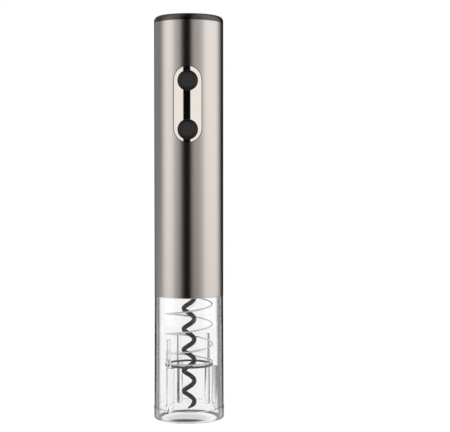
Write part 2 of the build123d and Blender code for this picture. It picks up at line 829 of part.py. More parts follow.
# Motor plate: closes the gearbox and carries the motor
head_depth = gearbox_screw_head - gearbox_screw_radius
motor_head_depth = motor_screw_head - motor_screw_radius
with BuildPart() as motor_plate:
    with BuildSketch(Plane.XY.offset(plate_bottom)):
        Circle(gearbox_radius)
        Circle(motor_boss_radius + run, mode=Mode.SUBTRACT)
    extrude(amount=plate_thickness)
    with Locations(Location(Plane.XY.offset(plate_top))):
        with PolarLocations(gearbox_screw_circle, gearbox_screw_count):
            CounterSinkHole(gearbox_screw_radius + run, gearbox_screw_head + run, counter_sink_angle=90)
    with Locations(Location(Plane.XY.offset(plate_bottom).rotated((180, 0, 0)))):
        with PolarLocations(motor_screw_circle, motor_screw_count):
            CounterSinkHole(motor_screw_radius + run, motor_screw_head + run, counter_sink_angle=90)
motor_plate.part.label = "motor_plate"
export_step(motor_plate.part, "parts/motor_plate.step")

# Long screws through the plate and the ring gear into the lid
gearbox_screw_end = lid_bottom + lid_thickness / 3
with BuildPart() as gearbox_screws:
    with PolarLocations(gearbox_screw_circle, gearbox_screw_count):
        with Locations((0, 0, plate_top)):
            Cone(
                gearbox_screw_radius,
                gearbox_screw_head,
                head_depth,
                align=(Align.CENTER, Align.CENTER, Align.MAX),
            )
        with Locations((0, 0, gearbox_screw_end)):
            Cylinder(
                gearbox_screw_radius,
                plate_top - head_depth - gearbox_screw_end,
                align=(Align.CENTER, Align.CENTER, Align.MIN),
            )
gearbox_screws.part.label = "gearbox_screws"
export_step(gearbox_screws.part, "parts/gearbox_screws.step")

# Motor can with its front boss
with BuildPart() as motor_can:
    with BuildSketch(Plane.XY.offset(plate_top)):
        Circle(motor_radius)
    extrude(amount=motor_length)
    with BuildSketch(Plane.XY.offset(plate_top)):
        Circle(motor_boss_radius)
    extrude(amount=-motor_boss_length)
    with BuildSketch(Plane.XY.offset(plate_top + can_front)):
        Circle(can_inner)
    extrude(amount=motor_length, mode=Mode.SUBTRACT)
    with BuildSketch(Plane.XY.offset(plate_top)):
        Circle(rotor_shaft_radius + run)
    extrude(amount=motor_boss_length, both=True, mode=Mode.SUBTRACT)
    with BuildSketch(Plane.XY.offset(plate_top)):
        with PolarLocations(motor_screw_circle, motor_screw_count):
            Circle(motor_screw_radius + seat)
    extrude(amount=can_front, mode=Mode.SUBTRACT)
motor_can.part.label = "motor_can"
export_step(motor_can.part, "parts/motor_can.step")

# Flat-headed screws that hold the motor on its plate
with BuildPart() as motor_screws:
    with PolarLocations(motor_screw_circle, motor_screw_count):
        with Locations((0, 0, plate_bottom)):
            Cone(
                motor_screw_head,
                motor_screw_radius,
                motor_head_depth,
                align=(Align.CENTER, Align.CENTER, Align.MIN),
            )
            Cylinder(
                motor_screw_radius,
                plate_thickness + can_front,
                align=(Align.CENTER, Align.CENTER, Align.MIN),
            )
motor_screws.part.label = "motor_screws"
export_step(motor_screws.part, "parts/motor_screws.step")

# Pair of arc magnets
with BuildPart() as motor_magnets:
    with BuildSketch(Plane.XY.offset(plate_top + magnet_start)):
        for middle in (0, 180):
            start = middle - magnet_span / 2
            with BuildLine():
                outer = CenterArc((0, 0), magnet_outer, start, magnet_span)
                inner = CenterArc((0, 0), magnet_outer - magnet_thickness, start, magnet_span)
                Line(outer @ 0, inner @ 0)
                Line(outer @ 1, inner @ 1)
            make_face()
    extrude(amount=magnet_length)
motor_magnets.part.label = "motor_magnets"
export_step(motor_magnets.part, "parts/motor_magnets.step")

# Rotor: shaft, slotted armature and commutator
armature_bottom = plate_top + armature_start
armature_top = armature_bottom + armature_length
shaft_top = can_top + end_cap_thickness / 2
with BuildPart() as motor_rotor:
    with BuildSketch(Plane.XY.offset(stage1_bottom)):
        Circle(rotor_shaft_radius)
    extrude(amount=shaft_top - stage1_bottom)
    with BuildSketch(Plane.XY.offset(armature_bottom)):
        Circle(armature_radius)
        with PolarLocations((armature_core + armature_radius) / 2 + armature_slot, armature_slots):
            Rectangle(armature_radius - armature_core + 2 * armature_slot, armature_slot, mode=Mode.SUBTRACT)
    extrude(amount=armature_length)
    with BuildSketch(Plane.XY.offset(armature_top)):
        Circle(commutator_radius)
    extrude(amount=commutator_length)
motor_rotor.part.label = "motor_rotor"
export_step(motor_rotor.part, "parts/motor_rotor.step")

# Plastic end cap with the rear bearing
with BuildPart() as motor_end_cap:
    with BuildSketch(Plane.XY.offset(can_top)):
        Circle(motor_radius)
    extrude(amount=end_cap_thickness)
    with BuildSketch(Plane.XY.offset(can_top)):
        Circle(can_inner - seat)
    extrude(amount=-end_cap_plug)
    with BuildSketch(Plane.XY.offset(can_top - end_cap_plug)):
        Circle(rotor_shaft_radius + run)
    extrude(amount=end_cap_plug + end_cap_thickness / 2 + run, mode=Mode.SUBTRACT)
motor_end_cap.part.label = "motor_end_cap"
export_step(motor_end_cap.part, "parts/motor_end_cap.step")

# Terminal tags on the end cap
with BuildPart() as motor_terminals:
    with BuildSketch(Plane.XY.offset(motor_top)):
        with Locations((-terminal_spread, 0), (terminal_spread, 0)):
            Rectangle(terminal_thickness, terminal_width)
    extrude(amount=terminal_height)
motor_terminals.part.label = "motor_terminals"
export_step(motor_terminals.part, "parts/motor_terminals.step")

# Chassis halves, which clamp the gearbox and the motor and close the cork chamber
boss_centre = (chamber_outer + chassis_inner) / 2
boss_low = flange_top + boss_radius - boss_overlap
boss_high = window_bottom - boss_radius + boss_overlap
boss_places = [(side * boss_centre, height) for side in (-1, 1) for height in (boss_low, boss_high)]


def chassis_outline(side):
    """Half section of the chassis; side is 1 to start at the back and -1 at the front."""
    motor_bore = motor_radius + nest
    gearbox_bore = gearbox_radius + seat
    section = (
        (collar_inner, collar_bottom),
        (collar_radius, collar_bottom),
        (collar_radius, flange_bottom),
        (chassis_radius, flange_bottom),
        (chassis_radius, chassis_top),
        (chassis_top_bore, chassis_top),
        (chassis_top_bore, chassis_top - chassis_flange),
        (chassis_inner, chassis_top - chassis_flange),
        (chassis_inner, window_bottom + chassis_flange),
        (motor_bore, window_bottom + chassis_flange),
        (motor_bore, window_bottom),
        (chassis_inner, window_bottom),
        (chassis_inner, plate_top + chassis_flange),
        (motor_bore, plate_top + chassis_flange),
        (motor_bore, plate_top),
        (gearbox_bore, plate_top),
        (gearbox_bore, lid_bottom),
        (ledge_bore, lid_bottom),
        (ledge_bore, lid_bottom - chassis_flange),
        (chassis_inner, lid_bottom - chassis_flange),
        (chassis_inner, flange_top),
        (chamber_outer, flange_top),
        (chamber_outer, partition_top),
        (chuck_radius + partition_gap, partition_top),
        (chuck_radius + partition_gap, partition_bottom),
        (chamber_radius, partition_bottom),
        (chamber_radius, flange_bottom),
        (collar_inner, flange_bottom),
    )
    with BuildLine() as outline:
        Polyline(*[(side * radius, height) for radius, height in section], close=True)
    make_face(outline.edges())


for name, side in (("left", 1), ("right", -1)):
    with BuildPart() as chassis:
        with BuildSketch(Plane.YZ):
            chassis_outline(side)
        revolve(axis=Axis.Z, revolution_arc=180)
        with BuildSketch(Plane.YZ):
            with Locations(*boss_places):
                Circle(boss_radius)
        extrude(amount=-side * boss_length)
        with BuildSketch(Plane.XZ.offset(window_depth)):
            with Locations((0, chassis_top)):
                Rectangle(window_width, 2 * (chassis_top - window_bottom))
        extrude(amount=chassis_radius, mode=Mode.SUBTRACT)
        with BuildSketch(Plane.YZ):
            with Locations(*boss_places):
                Circle(chassis_screw_radius + (seat if side > 0 else run))
        extrude(amount=-side * boss_length, mode=Mode.SUBTRACT)
        if side < 0:
            with BuildSketch(Plane.YZ.offset(boss_length)):
                with Locations(*boss_places):
                    Circle(chassis_screw_head + run)
            extrude(amount=chassis_radius, mode=Mode.SUBTRACT)
        with BuildSketch(*[plane.offset(cup_screw_head_height - nest) for plane in cup_screw_planes]):
            Circle(cup_screw_radius + seat)
        extrude(amount=-spigot_wall - nest - cup_screw_bite, mode=Mode.SUBTRACT)
    chassis.part.label = f"chassis_{name}"
    export_step(chassis.part, f"parts/chassis_{name}.step")

# Screws that draw the chassis halves together
with BuildPart() as chassis_screws:
    with BuildSketch(Plane.YZ.offset(boss_length)):
        with Locations(*boss_places):
            Circle(chassis_screw_head)
    extrude(amount=chassis_screw_head_height)
    with BuildSketch(Plane.YZ.offset(-chassis_screw_bite)):
        with Locations(*boss_places):
            Circle(chassis_screw_radius)
    extrude(amount=boss_length + chassis_screw_bite)
chassis_screws.part.label = "chassis_screws"
export_step(chassis_screws.part, "parts/chassis_screws.step")

# Battery holder: four bores, pockets for the lower contacts and a flat front
half_pitch = cell_pitch / 2
cell_centres = [
    (-half_pitch, pack_offset - half_pitch),
    (-half_pitch, pack_offset + half_pitch),
    (half_pitch, pack_offset + half_pitch),
    (half_pitch, pack_offset - half_pitch),
]
contact_bottom = holder_bottom + holder_floor
with BuildPart() as battery_holder:
    with BuildSketch(Plane.XY.offset(holder_bottom)):
        Circle(holder_radius)
        with Locations((0, -holder_flat - holder_radius)):
            Rectangle(2 * holder_radius, 2 * holder_radius, mode=Mode.SUBTRACT)
    extrude(amount=holder_top - holder_bottom)
    with BuildSketch(Plane.XY.offset(contact_bottom + contact_thickness)):
        with Locations(*cell_centres):
            Circle(cell_radius + cell_gap)
    extrude(amount=holder_top - contact_bottom, mode=Mode.SUBTRACT)
    with BuildSketch(Plane.XY.offset(contact_bottom)):
        with Locations((0, pack_offset + half_pitch)):
            SlotCenterToCenter(cell_pitch, contact_width + 2 * run)
        with Locations(cell_centres[0], cell_centres[3]):
            Circle(contact_width / 2 + run)
    extrude(amount=contact_thickness + run, mode=Mode.SUBTRACT)
battery_holder.part.label = "battery_holder"
export_step(battery_holder.part, "parts/battery_holder.step")

# Lower contacts: a link for the rear pair and a tag for each front cell
with BuildPart() as holder_contacts:
    with BuildSketch(Plane.XY.offset(contact_bottom)):
        with Locations((0, pack_offset + half_pitch)):
            SlotCenterToCenter(cell_pitch, contact_width)
        with Locations(cell_centres[0], cell_centres[3]):
            Circle(contact_width / 2)
    extrude(amount=contact_thickness)
holder_contacts.part.label = "holder_contacts"
export_step(holder_contacts.part, "parts/holder_contacts.step")

# AA cells, each turned over from its neighbour
for number, centre in enumerate(cell_centres, 1):
    upright = number % 2 == 1
    can_bottom = cell_bottom if upright else cell_bottom + cell_nub_height
    nub_bottom = cell_top - cell_nub_height if upright else cell_bottom
    with BuildPart() as cell:
        with BuildSketch(Plane(origin=(*centre, can_bottom))):
            Circle(cell_radius)
        extrude(amount=cell_length - cell_nub_height)
        chamfer(cell.edges().filter_by(GeomType.CIRCLE), cell_edge)
        with BuildSketch(Plane(origin=(*centre, nub_bottom))):
            Circle(cell_nub_radius)
        extrude(amount=cell_nub_height)
    cell.part.label = f"battery_cell_{number}"
    export_step(cell.part, f"parts/battery_cell_{number}.step")

print("gear ratio", (1 + ring_teeth / sun_teeth) ** 2)
print("planet to carrier ratio", -ring_teeth / planet_teeth)
print("planet orbit", planet_orbit, "at", [round(degrees(angle)) for angle in planet_angles])
print("overall height", round(cap_top, 2), "chassis top", round(chassis_top, 2))
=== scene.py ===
"""Electric wine opener: the looks, in metres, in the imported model's frame."""
import json
from math import atan2, cos, pi, radians, sin, sqrt, tan

import bmesh
import bpy
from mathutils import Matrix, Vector


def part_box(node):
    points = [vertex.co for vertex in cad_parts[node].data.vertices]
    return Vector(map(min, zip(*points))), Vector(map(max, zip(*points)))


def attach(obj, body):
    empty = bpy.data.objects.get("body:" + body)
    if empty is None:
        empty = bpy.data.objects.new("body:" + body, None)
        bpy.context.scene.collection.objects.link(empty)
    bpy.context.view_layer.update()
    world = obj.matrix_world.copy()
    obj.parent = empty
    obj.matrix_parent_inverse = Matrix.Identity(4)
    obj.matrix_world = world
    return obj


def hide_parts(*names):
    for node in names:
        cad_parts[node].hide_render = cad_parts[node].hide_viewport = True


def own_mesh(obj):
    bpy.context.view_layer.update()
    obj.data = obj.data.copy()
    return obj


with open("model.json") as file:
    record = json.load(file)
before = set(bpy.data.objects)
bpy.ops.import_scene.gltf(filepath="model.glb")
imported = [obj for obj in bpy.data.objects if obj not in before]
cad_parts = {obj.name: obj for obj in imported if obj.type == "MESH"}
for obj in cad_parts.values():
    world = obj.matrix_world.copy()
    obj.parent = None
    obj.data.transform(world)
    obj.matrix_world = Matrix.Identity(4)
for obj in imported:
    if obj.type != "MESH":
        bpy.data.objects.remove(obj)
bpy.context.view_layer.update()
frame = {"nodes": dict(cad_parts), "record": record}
nodes = frame["nodes"]
mm = 0.001

# Sizes that the boxes of the nodes don't give
TUBE_WALL = 0.6 * mm
TUBE_EDGE = 0.15 * mm
CAP_EDGE = 3.2 * mm
CAP_LINE = 0.25 * mm
CAP_SKIRT = 22.1 * mm
CAP_SKIRT_WALL = 1.6 * mm
CAP_SKIRT_EDGE = 0.3 * mm
CAP_CEILING = 3.0 * mm
PLATE_GAP = 0.4 * mm
PLATE_HOLE = 6.7 * mm
PLATE_EDGE = 0.16 * mm
PLATE_SPARE = 1.0 * mm  # round the plate's outline, cut off again
BUTTON_RADIUS = 5.8 * mm
BUTTON_EDGE = 0.75 * mm
BUTTON_DISH = 0.12 * mm
BUTTON_DISHED = 0.82  # share of the radius that is dished
BUTTON_DISH_STEPS = 12
BUTTON_FLANGE = 0.8 * mm
BUTTON_FLANGE_EDGE = 0.1 * mm
CUP_FOOT_HEIGHT = 7.7 * mm
CUP_FOOT_STAND = 0.25 * mm
CUP_WALL = 1.7 * mm
CUP_TOP_RADIUS = 22.9 * mm
CUP_DRAFT = 0.35 * mm
CUP_MOUTH_EDGE = 0.3 * mm
CUP_FOOT_EDGE = 0.9 * mm
CUP_STEP_EDGE = 0.12 * mm
CUP_SHOULDER_EDGE = 0.15 * mm
SPIGOT_RADIUS = 22.2 * mm
SPIGOT_WALL = 2.2 * mm
SPIGOT_EDGE = 0.2 * mm
RIB_ANGLES = (52, 112, 232, 352)
RIB_THICKNESS = 2.2 * mm
RIB_BOTTOM = 5.7 * mm
RIB_LEAD = 5.0 * mm
RIB_LEAD_DEPTH = 2.2 * mm
RIB_LEAD_EDGE = 0.5 * mm
RIB_LEAD_BEND = 2.0 * mm
RIB_BEARING = 0.6 * mm
RIB_RELIEF = 3.0 * mm
RIB_TOP_EDGE = 0.6 * mm
RIB_EDGE = 0.7 * mm
RING_TRAVEL = 18 * mm
RING_WIDTH = 2.5 * mm
RING_LEAD = 0.5 * mm
RING_EDGE = 0.25 * mm
CUP_SCREW_COUNT = 3
CUP_SCREW_FIRST = radians(30)
CUP_SCREW_HOLE = 1.0 * mm
CUP_SCREW_HEAD = 1.9 * mm
CUP_SCREW_SINK = 1.0 * mm
CUP_SCREW_SPAN = (0.5, 1.2)  # where a screw's hole starts and ends, as shares of the spigot's radius
COLLAR_LENGTH = 10 * mm
SPRING_WIRE = 0.5 * mm
SPRING_PITCH = 13.4 * mm
SPRING_CROSSING = 49.4 * mm
SPRING_END_TURN = 0.75
SPRING_END_RISE = 1.1 * mm
SPRING_SEAT = 0.1 * mm
SPRING_COIL_STEPS = 300
SPRING_END_STEPS = 54
SPRING_BLEND = 4  # points left out on each side of a change of pitch, which eases the bend there
WORM_WIRE = 1.5 * mm
WORM_RADIUS = 3.5 * mm
WORM_PITCH = 13.95 * mm
WORM_CROSSING = 17.4 * mm
WORM_POINT = 5.0 * mm
WORM_BEND = 3.0 * mm
WORM_SHANK = 7.0 * mm
WORM_TIP_RISE = 0.1 * mm
WORM_TIP = 0.1  # radius at the point, as a share of the wire's
WORM_TAPER = 0.8  # power by which the point thickens
WORM_COIL_STEPS = 460
WORM_BEND_STEPS = 8
WORM_SHANK_STEPS = 4
CUT_SPAN = (0.6, 1.2)  # where a cut through a curved wall starts and ends, as shares of the tube's radius
ON_AXIS = 0.0001 * mm  # turned points nearer to Z than this count as on it
SLIVER = 0.004 * mm  # faces thinner than this are taken out after a cut
ON_CYLINDER = 0.9995  # how squarely a face has to look out from Z to count as part of a cylinder
GRAIN_DEPTH = 0.02 * mm


def mesh_piece(name, points, faces):
    """A new object from points and faces, with its faces turned outwards."""
    mesh = bpy.data.meshes.new(name)
    mesh.from_pydata([tuple(point) for point in points], [], faces)
    shell = bmesh.new()
    shell.from_mesh(mesh)
    bmesh.ops.recalc_face_normals(shell, faces=shell.faces)
    shell.to_mesh(mesh)
    shell.free()
    piece = bpy.data.objects.new(name, mesh)
    bpy.context.scene.collection.objects.link(piece)
    return piece


def rounded(corners, steps=6):
    """Closed outline through (x, y, radius) corners, with an arc where the radius isn't 0."""
    outline = []
    for index, (x, y, radius) in enumerate(corners):
        here = Vector((x, y))
        if radius <= 0:
            outline.append(here)
            continue
        back = (Vector(corners[index - 1][:2]) - here).normalized()
        on = (Vector(corners[(index + 1) % len(corners)][:2]) - here).normalized()
        half = back.angle(on) / 2
        centre = here + (back + on).normalized() * radius / sin(half)
        first = here + back * radius / tan(half) - centre
        last = here + on * radius / tan(half) - centre
        turn = atan2(first.x * last.y - first.y * last.x, first.dot(last))
        for step in range(steps + 1):
            angle = turn * step / steps
            outline.append(centre + Vector((
                first.x * cos(angle) - first.y * sin(angle), first.x * sin(angle) + first.y * cos(angle))))
    return outline


def lathe(name, outline, segments=288):
    """Turn a closed outline of (radius, height) points about the Z axis."""
    points, rings, faces = [], [], []
    for radius, height in outline:
        turns = segments if radius > ON_AXIS else 1
        rings.append([len(points) + step for step in range(turns)])
        for step in range(turns):
            angle = 2 * pi * step / segments
            points.append((radius * cos(angle), radius * sin(angle), height))
    for index, ring in enumerate(rings):
        after = rings[(index + 1) % len(rings)]
        for step in range(segments if len(ring) + len(after) > 2 else 0):
            corners = [ring[step % len(ring)], ring[(step + 1) % len(ring)],
                       after[(step + 1) % len(after)], after[step % len(after)]]
            faces.append(list(dict.fromkeys(corners)))
    return mesh_piece(name, points, faces)


def prism(name, outline, low, high, place):
    """A straight solid over a closed outline; place turns (u, v, depth) into a point."""
    count = len(outline)
    points = [place(u, v, depth) for depth in (low, high) for u, v in outline]
    faces = [list(range(count)), list(range(count, 2 * count))]
    for index in range(count):
        after = (index + 1) % count
        faces.append([index, after, count + after, count + index])
    return mesh_piece(name, points, faces)


def wire(name, path, radii, sides):
    """A round wire along a path of points, closed at both ends."""
    points, faces = [], []
    across = None
    for index, point in enumerate(path):
        along = (path[min(index + 1, len(path) - 1)] - path[max(index - 1, 0)]).normalized()
        across = along.orthogonal() if across is None else across - along * across.dot(along)
        across.normalize()
        other = along.cross(across)
        for side in range(sides):
            angle = 2 * pi * side / sides
            points.append(point + (across * cos(angle) + other * sin(angle)) * radii[index])
    for index in range(len(path) - 1):
        for side in range(sides):
            after = (side + 1) % sides
            faces.append([index * sides + side, index * sides + after,
                          (index + 1) * sides + after, (index + 1) * sides + side])
    faces.append(list(range(sides)))
    faces.append(list(range((len(path) - 1) * sides, len(path) * sides)))
    return mesh_piece(name, points, faces)


def bake(piece):
    """Apply a piece's modifiers to its mesh."""
    bpy.context.view_layer.update()
    shown = piece.evaluated_get(bpy.context.evaluated_depsgraph_get())
    mesh = bpy.data.meshes.new_from_object(shown)
    piece.modifiers.clear()
    old = piece.data
    piece.data = mesh
    bpy.data.meshes.remove(old)


def combine(piece, tool, operation):
    """Cut, join or intersect a piece with a tool, which is used up."""
    change = piece.modifiers.new("combine", "BOOLEAN")
    change.operation = operation
    change.object = tool
    change.solver = "EXACT"
    bake(piece)
    bpy.data.objects.remove(tool)
    shell = bmesh.new()
    shell.from_mesh(piece.data)
    bmesh.ops.remove_doubles(shell, verts=shell.verts, dist=SLIVER)
    bmesh.ops.dissolve_degenerate(shell, edges=shell.edges, dist=SLIVER)
    shell.to_mesh(piece.data)
    shell.free()


def soften(piece, width, segments=2, angle=40):
    """Round the sharp edges of a piece."""
    edge = piece.modifiers.new("soften", "BEVEL")
    edge.width = width
    edge.segments = segments
    edge.limit_method = "ANGLE"
    edge.angle_limit = radians(angle)
    edge.use_clamp_overlap = True
    bake(piece)


def smooth(piece, angle=35):
    piece.data.shade_smooth()
    piece.data.set_sharp_from_angle(angle=radians(angle))


def round_normals(piece):
    """Give the faces that lie on a cylinder about Z that cylinder's own normals."""
    mesh = piece.data
    normals = [Vector(corner.vector) for corner in mesh.corner_normals]
    for face in mesh.polygons:
        out = Vector((face.center.x, face.center.y, 0)).normalized()
        facing = face.normal.dot(out)
        if abs(facing) > ON_CYLINDER:
            for corner in face.loop_indices:
                at = mesh.vertices[mesh.loops[corner].vertex_index].co
                normals[corner] = Vector((at.x, at.y, 0)).normalized() * (1 if facing > 0 else -1)
    mesh.normals_split_custom_set(normals)


def front(u, v, depth):
    """A point of the front face: across, up, and out from the axis towards the buttons."""
    return (u, -depth, v)


def turned(out, aside, up, angle):
    """A point of an upright plane through the Z axis, which stands at an angle."""
    return (out * cos(angle) - aside * sin(angle), out * sin(angle) + aside * cos(angle), up)


def stadium(half_width, low, high, steps=32):
    """Upright outline with round ends."""
    outline = []
    for centre, start in ((high - half_width, 0), (low + half_width, pi)):
        for step in range(steps + 1):
            angle = start + pi * step / steps
            outline.append((half_width * cos(angle), centre + half_width * sin(angle)))
    return outline


def disc(radius, centre, steps=64):
    return [(radius * cos(2 * pi * step / steps), centre + radius * sin(2 * pi * step / steps))
            for step in range(steps)]


def helix(radius, pitch, crossing, crossing_angle, height):
    angle = crossing_angle + 2 * pi * (height - crossing) / pitch
    return Vector((radius * cos(angle), radius * sin(angle), height))


def spread(low, high, count):
    return [low + (high - low) * step / count for step in range(count + 1)]


def node_of(tree, kind, inputs=None, **settings):
    """A new shader node; inputs are values by socket name or number."""
    made = tree.nodes.new(kind)
    for key, value in settings.items():
        setattr(made, key, value)
    for key, value in (inputs or {}).items():
        made.inputs[key].default_value = value
    return made


def maths(tree, operation, *values):
    """A maths node's output; each value is a number or another node's output."""
    made = node_of(tree, "ShaderNodeMath", operation=operation)
    for index, value in enumerate(values):
        if isinstance(value, (int, float)):
            made.inputs[index].default_value = value
        else:
            tree.links.new(value, made.inputs[index])
    return made.outputs[0]


def step_up(tree, value, edge, softness):
    """0 below an edge and 1 above it, eased over a softness."""
    made = node_of(tree, "ShaderNodeMapRange", {
        "From Min": edge - softness / 2, "From Max": edge + softness / 2}, interpolation_type="SMOOTHSTEP")
    tree.links.new(value, made.inputs["Value"])
    return made.outputs["Result"]


def length_of(tree, first, second):
    return maths(tree, "SQRT", maths(tree, "ADD", maths(tree, "MULTIPLY", first, first),
                                     maths(tree, "MULTIPLY", second, second)))


def window(tree, value, low, high, softness):
    return maths(tree, "SUBTRACT", step_up(tree, value, low, softness), step_up(tree, value, high, softness))


def mixed(tree, share, first, second):
    """A colour mix's output; first and second are colours or other nodes' outputs."""
    made = node_of(tree, "ShaderNodeMix", data_type="RGBA")
    tree.links.new(share, made.inputs["Factor"])
    for index, colour in ((6, first), (7, second)):
        if isinstance(colour, bpy.types.NodeSocket):
            tree.links.new(colour, made.inputs[index])
        else:
            made.inputs[index].default_value = (*colour, 1)
    return made.outputs[2]


def show_either(tree, share, first, second):
    """Make two shaders a material's surface: the first where the share is 0, the second where it is 1."""
    made = node_of(tree, "ShaderNodeMixShader")
    for index, output in enumerate((share, first, second)):
        tree.links.new(output, made.inputs[index])
    tree.links.new(made.outputs[0], tree.nodes["Material Output"].inputs["Surface"])


def finish(name, colour, roughness, metallic=0.0, grain=900.0, stretch=(1, 1, 1), rough_spread=0.05,
           tint=0.06, bump=0.05, specular=0.5, brushed=0.0):
    """A procedural finish: fine grain in the roughness and bump, and slow cloudy variation in the colour.

    A brushed one has its scratches round the Z axis, which spread reflections up and down.
    """
    material = bpy.data.materials.new(name)
    material.use_nodes = True
    tree = material.node_tree
    surface = tree.nodes["Principled BSDF"]
    surface.inputs["Metallic"].default_value = metallic
    surface.inputs["Specular IOR Level"].default_value = specular
    place = node_of(tree, "ShaderNodeTexCoord")
    scale = node_of(tree, "ShaderNodeMapping", {"Scale": stretch})
    fine = node_of(tree, "ShaderNodeTexNoise", {"Scale": grain, "Detail": 4.0, "Roughness": 0.6})
    cloudy = node_of(tree, "ShaderNodeTexNoise", {"Scale": 55.0, "Detail": 3.0, "Roughness": 0.55})
    rough = node_of(tree, "ShaderNodeMapRange", {
        "From Min": 0.25, "From Max": 0.75,
        "To Min": max(0.01, roughness - rough_spread), "To Max": roughness + rough_spread})
    shade = mixed(tree, cloudy.outputs["Fac"], [part * (1 - tint) for part in colour],
                  [min(1, part * (1 + tint)) for part in colour])
    rise = node_of(tree, "ShaderNodeBump", {"Strength": bump, "Distance": GRAIN_DEPTH})
    link = tree.links.new
    link(place.outputs["Object"], scale.inputs["Vector"])
    link(scale.outputs["Vector"], fine.inputs["Vector"])
    link(place.outputs["Object"], cloudy.inputs["Vector"])
    link(fine.outputs["Fac"], rough.inputs["Value"])
    link(rough.outputs["Result"], surface.inputs["Roughness"])
    link(shade, surface.inputs["Base Color"])
    link(fine.outputs["Fac"], rise.inputs["Height"])
    link(rise.outputs["Normal"], surface.inputs["Normal"])
    if brushed:
        surface.inputs["Anisotropic"].default_value = brushed
        surface.inputs["Anisotropic Rotation"].default_value = 0.25
        round_axis = node_of(tree, "ShaderNodeTangent", direction_type="RADIAL", axis="Z")
        link(round_axis.outputs[0], surface.inputs["Tangent"])
    return material


def clear_finish(name):
    """Clear moulded plastic with faint flow marks, and painted shade that darkens its colour where it is seen
    edge on.

    It lets diffuse light and shadow rays straight through.
    """
    material = finish(name, (0.96, 0.963, 0.961), 0.012, grain=300.0, rough_spread=0.008, tint=0.004,
                      bump=0.0)
    tree = material.node_tree
    surface = tree.nodes["Principled BSDF"]
    surface.inputs["Transmission Weight"].default_value = 1.0
    surface.inputs["IOR"].default_value = 1.57
    glance = node_of(tree, "ShaderNodeLayerWeight", {"Blend": 0.5})
    plain = surface.inputs["Base Color"].links[0].from_socket
    # Painted shade: the colour goes dark where the surface is seen edge on
    painted_dark_edge = mixed(tree, step_up(tree, glance.outputs["Facing"], *EDGE_GLANCE), plain, PAINTED_EDGE_SHADE)
    tree.links.new(painted_dark_edge, surface.inputs["Base Color"])
    through = node_of(tree, "ShaderNodeBsdfTransparent")
    path = node_of(tree, "ShaderNodeLightPath")
    either = maths(tree, "MAXIMUM", path.outputs["Is Shadow Ray"], path.outputs["Is Diffuse Ray"])
    show_either(tree, either, surface.outputs[0], through.outputs[0])
    return material


def cell_finish(name):
    """A plain printed sleeve with bare metal ends."""
    material = finish(name, (0.10, 0.16, 0.20), 0.32, grain=500.0, tint=0.1)
    tree = material.node_tree
    surface = tree.nodes["Principled BSDF"]
    facing = node_of(tree, "ShaderNodeNewGeometry")
    parts = node_of(tree, "ShaderNodeSeparateXYZ")
    tree.links.new(facing.outputs["Normal"], parts.inputs[0])
    metal = maths(tree, "GREATER_THAN", maths(tree, "ABSOLUTE", parts.outputs["Z"]), 0.5)
    sleeve = surface.inputs["Base Color"].links[0].from_socket
    tree.links.new(mixed(tree, metal, sleeve, CELL_END), surface.inputs["Base Color"])
    tree.links.new(metal, surface.inputs["Metallic"])
    return material


